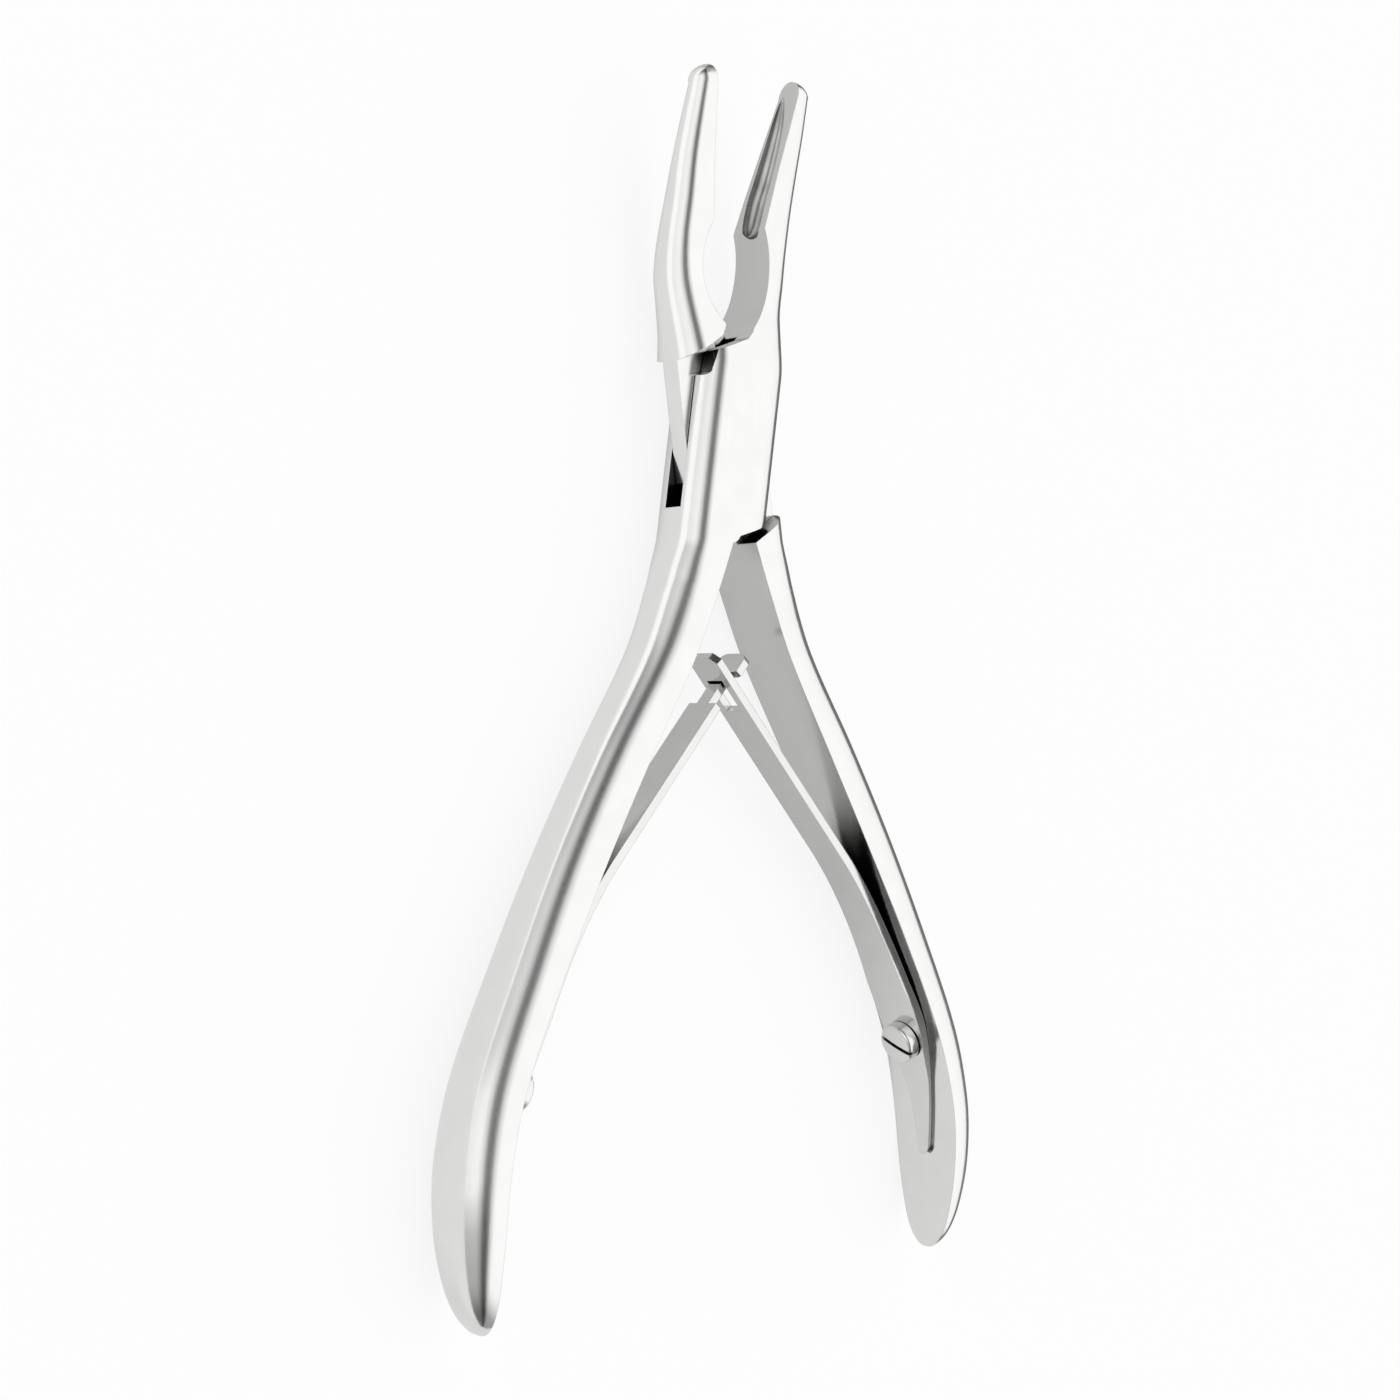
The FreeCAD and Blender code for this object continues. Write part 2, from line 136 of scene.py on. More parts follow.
level = add(tree, "Math", {0: level, 1: brightest}, operation="MULTIPLY")
inside = add(tree, "Background", {"Color": (1, 1, 1, 1), "Strength": level})
beyond = add(tree, "Background", {"Color": (1, 1, 1, 1)})
to_camera = add(tree, "LightPath").outputs["Is Camera Ray"]
seen = add(tree, "MixShader", {0: to_camera, 1: inside, 2: beyond})
add(tree, "OutputWorld", {"Surface": seen})


# The table. Matt board that keeps the tool's soft shadow and is lit up to white. In the metal's
# reflections only, it also glows as a painted reflection: bright on the left, greyer between the handles and
# dark on the right.
board = bpy.data.materials.new("matt_white_board")
board.use_nodes = True
tree = board.node_tree
tree.nodes.clear()
matt = add(tree, "BsdfDiffuse", {"Color": linear("#6C6C6C")})
place = add(tree, "SeparateXYZ", {0: add(tree, "TexCoord").outputs["Object"]}).outputs
# the tool widens down its handles by this much a length, below the box
spread = 0.43
below_box = add(tree, "Math", {0: place["Y"], 1: 0.012}, operation="MINIMUM")


def past(left_or_right, start, end):
    """0 to 1 across a slanting line along one handle, in metres from the middle."""
    slant = add(tree, "Math", {0: below_box, 1: spread}, operation="MULTIPLY")
    across = add(tree, "Math", {0: place["X"], 1: left_or_right, 2: slant}, operation="MULTIPLY_ADD")
    return add(tree, "MapRange", {"Value": across, "From Min": start, "From Max": end},
               interpolation_type="SMOOTHSTEP")


left_of_tool = past(-1.0, 0.008, 0.016)
far_left = past(-1.0, 0.021, 0.027)
right_of_tool = past(1.0, 0.0105, 0.0145)
left_side = add(tree, "MapRange", {"Value": place["X"], "From Min": 0.004, "From Max": -0.001})
left = add(tree, "Math", {0: left_of_tool, 1: left_side}, operation="MULTIPLY")
not_left = add(tree, "Math", {0: 1.0, 1: left}, operation="SUBTRACT")
# extra painted glow in the reflections, for the handles' ends, and for the jaws and the box
lower = add(tree, "MapRange", {"Value": place["Y"], "From Min": -0.028, "From Max": -0.052,
                               "To Min": 0.0, "To Max": 0.22})
upper = add(tree, "MapRange", {"Value": place["Y"], "From Min": 0.004, "From Max": 0.016,
                               "To Min": 0.0, "To Max": 0.3})
level = add(tree, "Math", {0: far_left, 1: upper, 2: 0.3}, operation="MULTIPLY_ADD")
level = add(tree, "Math", {0: level, 1: left, 2: 0.5}, operation="MULTIPLY_ADD")
level = add(tree, "Math", {0: not_left, 1: lower, 2: level}, operation="MULTIPLY_ADD")
# painted darkness in the metal's reflections of the board right of the tool
dark = add(tree, "Math", {0: 1.0, 1: left_side}, operation="SUBTRACT")
dark = add(tree, "Math", {0: dark, 1: right_of_tool}, operation="MULTIPLY")
dark = add(tree, "Math", {0: dark, 1: -0.88, 2: 1.0}, operation="MULTIPLY_ADD")
level = add(tree, "Math", {0: level, 1: dark}, operation="MULTIPLY")
# seen directly the board is lifted to white, and in the metal's reflections it glows with the levels above,
# a painted reflection
path = add(tree, "LightPath").outputs
painted_reflection_level = add(tree, "Math", {0: level, 1: path["Is Glossy Ray"]}, operation="MULTIPLY")
lift = add(tree, "Math", {0: path["Is Camera Ray"], 1: 0.87, 2: painted_reflection_level}, operation="MULTIPLY_ADD")
glow = add(tree, "Emission", {"Color": (1, 1, 1, 1), "Strength": lift})
add(tree, "OutputMaterial", {"Surface": add(tree, "AddShader", {0: matt, 1: glow})})
table_size = 6
bpy.ops.mesh.primitive_plane_add(size=table_size)
table = bpy.context.object
table.name = "table"
table.data.materials.append(board)


# The box half: right jaw, box with the slot through it, and left handle, one forging.
# Stainless steel, milled and ground to shape, then polished lengthwise to a soft shine.
# It is drawn in millimetres with the tool shut and the pivot at the origin, then turned open.
half_width = 5.85
half_thick = 4.4
box_corner = 3.1
opening = radians(16.6)
arc_steps = 12
# half the height of the slot through the box, and the radius of the pin's hole through its cheeks
slot_half = 1.35
bore_radius = 2.1
# a spring screw's hole, drilled from the handle's inner face to half this length
screw_hole_radius = 1.1
screw_hole_length = 6.4
# height over the pivot, outer side, back, front, corner radius
jaw_rows = ((8.0, 5.85, -4.4, 4.4, 3.1), (10.4, 5.83, -4.34, 4.34, 3.1),
            (13.6, 5.65, -3.8, 3.72, 2.9), (17.06, 5.52, -3.6, 3.05, 2.75),
            (20.43, 5.5, -3.3, 2.9, 2.6), (24.11, 5.05, -2.5, 3.2, 2.4),
            (28.34, 4.35, -1.2, 4.0, 2.25), (32.69, 3.78, 0.34, 4.87, 2.1),
            (36.88, 3.1, 1.9, 5.9, 1.9), (40.75, 2.35, 3.35, 6.8, 1.65))
jaw_tip = 42.6
# depth under the pivot, thickness, half width
handle_rows = ((12.0, 5.6, 4.4), (13.05, 5.58, 4.39), (14.63, 5.5, 4.38), (16.31, 5.38, 4.37),
               (24.22, 5.15, 4.29), (36.18, 5.6, 4.22), (48.24, 5.6, 4.35), (60.3, 5.22, 4.7),
               (72.36, 5.0, 5.0), (81.06, 4.75, 5.22), (84.5, 4.62, 5.15), (88.0, 4.4, 4.92),
               (91.0, 4.05, 4.5), (94.0, 3.45, 3.85), (96.0, 2.8, 3.2), (97.4, 2.05, 2.45),
               (98.3, 1.25, 1.6), (98.7, 0.7, 0.95), (98.85, 0.2, 0.3))
# how far the rounding of the outer corners reaches across the handle and down its side
corner_across = 4.3
corner_down = 3.9
# depth under the pivot, distance of the flat inner face from the middle
inner_rows = ((10.7, 0.15), (16.31, 1.43), (24.22, 3.57), (36.18, 8.15), (48.24, 12.64),
              (60.3, 16.72), (72.36, 20.1), (81.06, 21.0), (88.97, 20.45), (100.83, 18.6))


def eased(rows, steps):
    """Rows filled in between the given ones, on smooth curves over their first column."""
    filled = []
    for number in range(len(rows) - 1):
        before, a = rows[max(number - 1, 0)], rows[number]
        b, after = rows[number + 1], rows[min(number + 2, len(rows) - 1)]
        for step in range(steps):
            t = step / steps
            row = [a[0] + t * (b[0] - a[0])]
            for column in range(1, len(a)):
                leave = (b[column] - before[column]) / (b[0] - before[0]) * (b[0] - a[0])
                arrive = (after[column] - a[column]) / (after[0] - a[0]) * (b[0] - a[0])
                turned = t * t * (3 - 2 * t) * (b[column] - a[column])
                row.append(a[column] + turned + t * (1 - t) * ((1 - t) * leave - t * arrive))
            filled.append(row)
    return filled + [list(rows[-1])]


inner_line = eased(inner_rows, 10)


def inner_at(depth):
    """How far the handle's inner face is from the middle at one depth."""
    for (y0, x0), (y1, x1) in zip(inner_line, inner_line[1:]):
        if y0 <= depth <= y1:
            return x0 + (x1 - x0) * (depth - y0) / (y1 - y0)
    return inner_line[-1][1]


def ring(y, left, right, low, high, across, down):
    """A rectangle across the tool, its corners rounded."""
    points = []
    centres = ((right - across, low + down), (right - across, high - down),
               (left + across, high - down), (left + across, low + down))
    for quarter, (x, z) in enumerate(centres):
        for step in range(arc_steps + 1):
            a = (quarter - 1 + step / arc_steps) * pi / 2
            points.append((x + across * cos(a), y, z + down * sin(a)))
    return points


def jaw_rings(side):
    """The outer form of one jaw, from the box to its domed tip."""
    rings = eased(jaw_rows, 5)
    y, outer, low, high, radius = rings[-1]
    middle = (low + high) / 2
    for degree in (12, 24, 35, 45, 54, 62, 69, 75, 80, 84, 87):
        shrink = cos(radians(degree))
        half = shrink * (high - low) / 2
        rise = (jaw_tip - y) * sin(radians(degree))
        rings.append((y + rise, shrink * outer, middle - half, middle + half, min(radius, 0.85 * half)))
    sides = [(-half_width, row[1]) if side > 0 else (-row[1], half_width) for row in rings]
    return [ring(row[0], *both, row[2], row[3], row[4], row[4]) for row, both in zip(rings, sides)]


def handle_rings(side):
    """The outer form of one handle, from its round end up to the box."""
    rings = []
    for depth, deep, half in reversed(eased(handle_rows, 7)):
        settled = min(1, max(0, (depth - 11) / 8))
        across = min(box_corner + settled * (corner_across - box_corner), 0.86 * deep)
        down = min(box_corner + settled * (corner_down - box_corner), 0.74 * half)
        near = inner_at(depth) - across - 0.5
        far = inner_at(depth) + deep
        left, right = (near, far) if side > 0 else (-far, -near)
        rings.append(ring(-depth, left, right, -half, half, across, down))
    return rings + [ring(-11, -half_width, half_width, -half_thick, half_thick, box_corner, box_corner)]


def mesh_object(name, vertices, faces):
    mesh = bpy.data.meshes.new(name)
    mesh.from_pydata(vertices, [], faces)
    work = bmesh.new()
    work.from_mesh(mesh)
    bmesh.ops.recalc_face_normals(work, faces=work.faces)
    work.to_mesh(mesh)
    work.free()
    made = bpy.data.objects.new(name, mesh)
    bpy.context.collection.objects.link(made)
    return made


def skin(name, rings):
    """A closed solid through a row of rings."""
    size = len(rings[0])
    faces = []
    for row in range(len(rings) - 1):
        for k in range(size):
            n = (k + 1) % size
            faces.append((row * size + k, row * size + n, (row + 1) * size + n, (row + 1) * size + k))
    faces.append(tuple(range(size)))
    faces.append(tuple(range((len(rings) - 1) * size, len(rings) * size)))
    return mesh_object(name, [point for one in rings for point in one], faces)


def prism(name, outline, low, high):
    """A solid from a closed outline seen from the front."""
    size = len(outline)
    points = [(x, y, low) for x, y in outline] + [(x, y, high) for x, y in outline]
    faces = [(k, (k + 1) % size, size + (k + 1) % size, size + k) for k in range(size)]
    faces += [tuple(range(size)), tuple(range(size, 2 * size))]
    return mesh_object(name, points, faces)


def plain_mesh(piece):
    """Keep what the modifiers make as the piece's own mesh."""
    graph = bpy.context.evaluated_depsgraph_get()
    done = bpy.data.meshes.new_from_object(piece.evaluated_get(graph))
    piece.modifiers.clear()
    piece.data = done


def combine(body, tool, operation):
    """Cut, join or intersect two solids."""
    change = body.modifiers.new("change", "BOOLEAN")
    change.operation = operation
    change.solver = "EXACT"
    change.object = tool
    plain_mesh(body)
    bpy.data.objects.remove(tool)


def curve(a, b, c, steps=24):
    """Points on the arc from a through b to c."""
    d = 2 * (a[0] * (b[1] - c[1]) + b[0] * (c[1] - a[1]) + c[0] * (a[1] - b[1]))
    qa, qb, qc = [p[0] ** 2 + p[1] ** 2 for p in (a, b, c)]
    x = (qa * (b[1] - c[1]) + qb * (c[1] - a[1]) + qc * (a[1] - b[1])) / d
    y = (qa * (c[0] - b[0]) + qb * (a[0] - c[0]) + qc * (b[0] - a[0])) / d
    start, middle, end = [atan2(p[1] - y, p[0] - x) for p in (a, b, c)]
    sweep = (end - start) % (2 * pi)
    if (middle - start) % (2 * pi) > sweep:
        sweep -= 2 * pi
    radius = sqrt((a[0] - x) ** 2 + (a[1] - y) ** 2)
    return [(x + radius * cos(start + sweep * k / steps), y + radius * sin(start + sweep * k / steps))
            for k in range(steps + 1)]


# half the gap between the jaws, and lines that lie clear of the tool on every side
edge = 0.05
beyond_tool = 30
above_tool = 44
below_tool = -inner_rows[-1][0]
right_through = 20
throat = curve((edge, 14.2), (1.95, 19.95), (edge, 25.7))
inner_face = [(x, -y) for y, x in inner_line]


def flipped(points):
    return [(-x, y) for x, y in points]


# height over the pivot, distance in front of it, half width, depth
spoon_rows = ((24.76, 1.0, 0.3, 0.16), (25.09, 0.95, 0.96, 0.7), (26.0, 0.98, 1.5, 1.2),
              (27.51, 1.13, 1.66, 1.35), (29.5, 1.52, 1.67, 1.35), (32.02, 2.24, 1.57, 1.3),
              (34.5, 2.87, 1.41, 1.15), (36.99, 3.44, 1.17, 0.95), (39.0, 3.78, 0.82, 0.65),
              (40.38, 3.99, 0.42, 0.32), (40.92, 4.05, 0.12, 0.07))


def hollow(name, side):
    """The spoon in a jaw: a curved trough that comes to a point at the top."""
    rings = []
    for y, z, half, deep in eased(spoon_rows, 4):
        turns = [k * pi / 28 for k in range(56)]
        rings.append([(side * (edge + deep * cos(a)), y, z + half * sin(a)) for a in turns])
    return skin(name, rings)


def drill(name, centre, axis, radius, length):
    """A round bar, for making holes."""
    across = axis.orthogonal().normalized()
    other = axis.cross(across)
    turns = [k * pi / 32 for k in range(64)]
    ends = (centre - axis * length / 2, centre + axis * length / 2)
    return skin(name, [[end + radius * (across * cos(a) + other * sin(a)) for a in turns] for end in ends])


screw_depth = 72.7


def screw_seat(side):
    """Where a spring's screw enters the handle's inner face, and the way out of the face."""
    along = Vector((inner_at(screw_depth + 0.5) - inner_at(screw_depth - 0.5), -1, 0)).normalized()
    return Vector((side * inner_at(screw_depth), -screw_depth, 0)), Vector((side * along.y, -along.x, 0))


def shade(piece, sharp=32):
    """Smooth shading that keeps the flats flat and the edges crisp."""
    piece.data.polygons.foreach_set("use_smooth", [True] * len(piece.data.polygons))
    piece.data.set_sharp_from_angle(angle=radians(sharp))
    keep = piece.modifiers.new("flats", "WEIGHTED_NORMAL")
    keep.keep_sharp = True
    plain_mesh(piece)


def turn_open(piece, side):
    """Merge what the cuts left, turn a piece open about the pivot and set it down on the table."""
    work = bmesh.new()
    work.from_mesh(piece.data)
    bmesh.ops.remove_doubles(work, verts=work.verts, dist=0.002)
    bmesh.ops.dissolve_degenerate(work, dist=0.002, edges=work.edges)
    turn = Matrix.Rotation(side * opening / 2, 4, "Z")
    work.transform(Matrix.Translation(pivot) @ Matrix.Scale(0.001, 4) @ turn)
    work.to_mesh(piece.data)
    work.free()
    shade(piece)


def steel_finish(name, colour, dull, grain_across, grain_along, gap=0.004, clear=0.5):
    """Worked stainless steel. Fine lengthwise marks show in its roughness and relief, its edges
    are broken by a tenth of a millimetre, and its colour is darkened in its nooks, looked for over
    one gap's width, as painted shade."""
    finish = bpy.data.materials.new(name)
    finish.use_nodes = True
    tree = finish.node_tree
    tree.nodes.clear()
    spot = add(tree, "TexCoord").outputs["Object"]
    scale = (1 / grain_across, 1 / grain_along, 1 / grain_across)
    stretched = add(tree, "Mapping", {"Vector": spot, "Scale": scale})
    grain = add(tree, "TexNoise", {"Vector": stretched, "Scale": 1.0, "Detail": 2.0})
    rough = add(tree, "MapRange", {"Value": grain, "From Min": 0.3, "From Max": 0.7,
                                   "To Min": dull - 0.04, "To Max": dull + 0.05})
    # no broken edge at the pin, whose ends are ground flush
    from_pin = add(tree, "VectorMath", {0: spot, 1: (pivot.x, pivot.y, 0)}, operation="SUBTRACT")
    from_pin = add(tree, "VectorMath", {0: from_pin, 1: (1, 1, 0)}, operation="MULTIPLY")
    from_pin = add(tree, "VectorMath", {0: from_pin}, operation="LENGTH").outputs["Value"]
    break_width = add(tree, "MapRange", {"Value": from_pin, "From Min": 0.0026, "From Max": 0.003,
                                         "To Min": 0.0, "To Max": 0.00012})
    broken = add(tree, "Bevel", {"Radius": break_width}, samples=6)
    marks = add(tree, "Bump", {"Height": grain, "Strength": 0.25, "Distance": 0.000004, "Normal": broken})
    # clouds about 3 mm wide, where the polish has worn a little
    cloud = add(tree, "TexNoise", {"Vector": spot, "Scale": 300.0, "Detail": 1.0})
    worn = add(tree, "Mix", {0: cloud, 6: linear(colour[0]), 7: linear(colour[1])}, data_type="RGBA")
    # painted shade: the colour darkens where ambient occlusion finds a nook within one gap's width
    nook = add(tree, "AmbientOcclusion", {"Distance": gap}, samples=12).outputs["AO"]
    painted_shade_factor = add(tree, "MapRange", {"Value": nook, "From Min": 0.16, "From Max": clear,
                                 "To Min": 0.02, "To Max": 1.0}, interpolation_type="SMOOTHSTEP")
    tone_with_painted_shade = add(tree, "VectorMath", {0: worn.outputs[2], "Scale": painted_shade_factor}, operation="SCALE")
    steel = add(tree, "BsdfPrincipled", {"Base Color": tone_with_painted_shade, "Metallic": 1.0, "Roughness": rough,
                                         "Normal": marks})
    add(tree, "OutputMaterial", {"Surface": steel})
    return finish


# polished lengthwise to a soft mirror, with marks 0.12 mm apart and 3 mm long, drawn coarser than
# the real ones so that they show
forged_steel = steel_finish("lengthwise_polished_stainless_steel", ("#E9E9E8", "#E3E3E2"),
                            dull=0.16, grain_across=0.00012, grain_along=0.003)
# the lock's inner faces keep the cutter's marks, 0.2 mm apart, and look dull, and their dark colour is
# painted shade in the slot
milled_steel_with_painted_shade = steel_finish("milled_steel_in_the_lock_with_painted_shade", ("#7A7A79", "#6A6A69"),
                            dull=0.32, grain_across=0.0002, grain_along=0.002, gap=0.006, clear=1.0)
# the spoons and the shoulder are ground and left streaky, with marks 0.3 mm apart, and their colour, darker
# than the polish, is painted shade in the hollows and under the cheek
ground_steel_with_painted_shade = steel_finish("ground_steel_in_the_spoon_with_painted_shade", ("#D2D2D1", "#8C8C8B"),
                            dull=0.23, grain_across=0.0003, grain_along=0.004, gap=0.003, clear=0.7)


def mark_inside(piece):
    """Give the faces inside the lock, on the shoulder and in the spoon their own finish, darker than the
    outer polish as painted shade.
    """
    for finish in (forged_steel, milled_steel_with_painted_shade, ground_steel_with_painted_shade):
        piece.data.materials.append(finish)
    milled_with_painted_shade, ground_with_painted_shade = 1, 2
    # worked faces lie within this rounded form, so that the outer skin is left out
    skin_radius, skin_x, skin_z = 2.3, 5.3, 3.4
    slot_top = 12.8
    shoulder_low, shoulder_high = -12, -6
    trough = eased(spoon_rows, 4)
    for face in piece.data.polygons:
        x, y, z = face.center
        past_x = max(0, abs(x) - half_width + box_corner)
        past_z = max(0, abs(z) - half_thick + box_corner)
        within = sqrt(past_x ** 2 + past_z ** 2) < skin_radius and abs(x) < skin_x and abs(z) < skin_z
        level = abs(face.normal.z) > 0.9
        slot_wall = level and abs(abs(z) - slot_half) < 0.05
        # the lock's faces get the milled finish, whose dark colour is painted shade
        if within and (slot_wall or 0 < y < slot_top and not level):
            face.material_index = milled_with_painted_shade
        # the shoulder under the cheek and the spoon get the ground finish, darkened as painted shade
        if within and shoulder_low < y < shoulder_high and face.normal.y > 0.3:
            face.material_index = ground_with_painted_shade
        for low, high in zip(trough, trough[1:]):
            if low[0] <= y < high[0] and abs(x) > edge + 0.02 and face.normal.y > -0.45:
                middle, half, deep = [(a + b) / 2 for a, b in zip(low[1:], high[1:])]
                if ((abs(x) - edge) / deep) ** 2 + ((z - middle) / half) ** 2 < 1.15:
                    face.material_index = ground_with_painted_shade


def dress(piece, node, body, finish):
    if not piece.data.materials:
        piece.data.materials.append(finish)
    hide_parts(node)
    if body:
        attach(piece, body)


box = skin("box_half_steel", handle_rings(-1) + jaw_rings(1))
# the cheek's lower edge, this deep at the middle and 7.35 deep at the side
cheek_depth = 10.14
cheek_slope = (cheek_depth - 7.35) / half_width
cheek_end = curve((0.76, cheek_slope * 0.76 - cheek_depth), (0.425, -10.36), (-0.15, -10.7), 8)
notch_foot = curve((-5.1, 8.3), (-5.28, 7.72), (-5.7, 7.5), 8)
outline = [(edge, above_tool), (beyond_tool, above_tool)]
outline += [(beyond_tool, cheek_slope * beyond_tool - cheek_depth)] + cheek_end[:-1]
outline += flipped(inner_face) + [(-beyond_tool, below_tool), (-beyond_tool, 7.5)]
outline += notch_foot[::-1] + [(-4.75, 10.5), (-0.9, 12.6), (-0.15, 13.6)] + throat
combine(box, prism("front", outline, -beyond_tool, beyond_tool), "INTERSECT")
# the slot's sloping ends, this far from the pivot at the middle and 7.5 at the sides
slot_end = 10.75
slot_slope = (slot_end - 7.5) / half_width
reach = half_width + 2
slot = [(-reach, slot_slope * reach - slot_end), (-0.15, slot_slope * 0.15 - slot_end), (0, -13.7),
        (reach, -13.7), (reach, slot_end - slot_slope * reach), (0.35, slot_end - slot_slope * 0.35),
        (0.35, 13.0), (-0.1, 13.3), (-0.1, 14.7), (-reach, 14.7)]
combine(box, prism("slot", slot, -slot_half, slot_half), "DIFFERENCE")
combine(box, hollow("spoon", 1), "DIFFERENCE")
combine(box, drill("bore", Vector(), Vector((0, 0, 1)), bore_radius, right_through), "DIFFERENCE")
combine(box, drill("screw_hole", *screw_seat(-1), screw_hole_radius, screw_hole_length), "DIFFERENCE")
mark_inside(box)
turn_open(box, -1)
dress(box, "box_half", "box_side", forged_steel)


# The pivot pin. A riveted pin through both cheeks and the neck, ground flush and polished with
# the box, so that its ends hardly show. Its CAD solid has the right shape and stays.
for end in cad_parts["pivot_pin"].material_slots:
    end.material = forged_steel


# The insert half: left jaw, the thin neck that turns in the slot, right handle. One forging of
# the same steel, finished as the box half is.
insert = skin("insert_half_steel", handle_rings(1) + jaw_rings(-1))
# the underside of the jaw's root slopes down to the side, 10.7 over the pivot, and on past it
ledge_height = 10.7
past_side = 5
ledge_slope = (12.9 - ledge_height) / (half_width - 0.9)
low = [(-half_width - past_side, ledge_height - ledge_slope * past_side), (-0.9, 12.9), (-0.15, 13.9)]
block = low + flipped(throat) + [(-edge, above_tool), (-beyond_tool, above_tool)]
keep = prism("keep", block + [(-beyond_tool, low[0][1])], -beyond_tool, beyond_tool)
# the handle's shoulder, half a millimetre under the cheek of the box
shoulder = cheek_depth + 0.5
lower = [(0.15, cheek_slope * 0.15 - shoulder)] + inner_face
lower += [(beyond_tool, below_tool), (beyond_tool, cheek_slope * beyond_tool - shoulder)]
combine(keep, prism("lower", lower, -beyond_tool, beyond_tool), "UNION")
# the neck, with a tenth of a millimetre of play on each side in the slot
neck_half = slot_half - 0.1
neck = [(-reach, -3), (-half_width, -3), (-0.1, -10.4), (1.5, -12.5), (reach, -12.5), (reach, 3),
        (half_width, 3), (0.1, 10.4), (-0.15, 13.9), (-1.2, 15), (-reach, 15)]
combine(keep, prism("neck", neck, -neck_half, neck_half), "UNION")
combine(insert, keep, "INTERSECT")
combine(insert, hollow("spoon", -1), "DIFFERENCE")
combine(insert, drill("screw_hole", *screw_seat(1), screw_hole_radius, screw_hole_length), "DIFFERENCE")
mark_inside(insert)
turn_open(insert, 1)
dress(insert, "insert_half", "insert_side", forged_steel)


# The two leaf springs. Each is stamped from strip, tapered in thickness, bent, hardened and
# polished. Its foot lies on the handle under a screw, and its blade runs straight to the middle,
# where the T-headed tongue of one hooks through the window of the other.
end_thick = 0.5
foot_thick = 1.2
tip_thick = 0.95
# the foot is followed from its end at this depth, and lifts off the handle towards the blade
foot_depth = 88.4
foot_steps = 20
lift_depth = 75
seat_gap = 0.03
blade_tip = Vector((-5.5, -22.34, 0))
blade_root = Vector((10.44, -47.84, 0))
blade_half = 2.35
foot_half = 3.2


def foot_point(depth):
    """A point on the side of the foot that lies on the handle, and the way along it to the tip."""
    along = Vector((inner_at(depth - 0.3) - inner_at(depth + 0.3), 0.6, 0)).normalized()
    lift = seat_gap + 0.0037 * max(0, lift_depth - depth) ** 2
    return Vector((inner_at(depth), -depth, 0)) + lift * Vector((-along.y, along.x, 0)), along


def spring_back():
    """The spring's line on the side that faces the handle, from the foot's end to the tip."""
    places = [foot_point(foot_depth - 1.16 * step) for step in range(foot_steps + 1)]
    start, leave = places[-1]
    straight = (blade_tip - blade_root).normalized()
    length = (blade_root - start).length
    for step in range(1, 16):
        t = step / 16
        bent = start * (1 + 2 * t) * (1 - t) ** 2 + blade_root * t * t * (3 - 2 * t)
        bent += length * (leave * t * (1 - t) ** 2 - straight * t * t * (1 - t))
        places.append((bent, None))
    for step in range(11):
        places.append((blade_root.lerp(blade_tip, step / 10), straight))
    points = [point for point, along in places]
    lines = []
    for number, (point, along) in enumerate(places):
        if along is None:
            along = (points[number + 1] - points[number - 1]).normalized()
        lines.append((point, along))
    return lines


def strip(name):
    """The bent strip, thinner towards the tip, wider than the finished spring."""
    back = spring_back()
    rings = []
    for number, (point, along) in enumerate(back):
        # it thickens from its ground end, over five steps, and thins again along the blade
        past_end = min(1, max(0, (number - 8) / 5))
        thick = end_thick + past_end ** 2 * (3 - 2 * past_end) * (foot_thick - end_thick)
        along_blade = max(0, number - foot_steps) / (len(back) - 1 - foot_steps)
        thick -= along_blade * (foot_thick - tip_thick)
        inward = point + thick * Vector((-along.y, along.x, 0))
        wide = foot_half + 1
        rings.append([(point.x, point.y, -wide), (point.x, point.y, wide),
                      (inward.x, inward.y, wide), (inward.x, inward.y, -wide)])
    return skin(name, rings)


def spring_side(start):
    """One edge of a spring's plan, by distance from the tip and half width, to the foot's end."""
    # the blade's half width is even as far as this, swells to the foot and tapers to its end
    swell = eased(((30.07, blade_half), (42.0, 2.65), (50.0, 3.115), (54.0, foot_half), (57.0, 2.8),
                   (60.5, 2.15), (65.0, 1.35), (67.9, 0.9)), 6)
    points = [(start, blade_half)] + [tuple(row) for row in swell[:-1]]
    return points + curve((67.9, 0.9), (68.6, 0.62), (68.9, 0), 6)


def whole_plan(side):
    return side + [(along, -across) for along, across in reversed(side[:-1])]


def make_spring(name, plan, window, side):
    """Cut the bent strip to its plan, pierce it and lay it on its handle."""
    piece = strip(name)
    along = (blade_root - blade_tip).normalized()
    lay = Matrix(((along.x, 0, along.y, blade_tip.x), (along.y, 0, -along.x, blade_tip.y),
                  (0, 1, 0, 0), (0, 0, 0, 1)))
    blank = prism("plan", plan, -beyond_tool, beyond_tool)
    blank.data.transform(lay)
    combine(piece, blank, "INTERSECT")
    if window:
        hole = prism("window", window, -beyond_tool, beyond_tool)
        hole.data.transform(lay)
        combine(piece, hole, "DIFFERENCE")
    combine(piece, drill("screw_hole", *screw_seat(1), screw_hole_radius + 0.1, right_through), "DIFFERENCE")
    if side < 0:
        piece.data.transform(Matrix.Scale(-1, 4, (1, 0, 0)))
        piece.data.flip_normals()
    turn_open(piece, side)
    return piece


def bend_with(piece):
    """Bake the piece's placement into its mesh; it stays one rigid piece."""
    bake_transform(piece)


# strip steel takes a finer polish than the forgings and mirrors more clearly
strip_steel = steel_finish("polished_spring_steel_strip", ("#E2E2E1", "#DADAD9"), 0.12, 0.0001, 0.002)

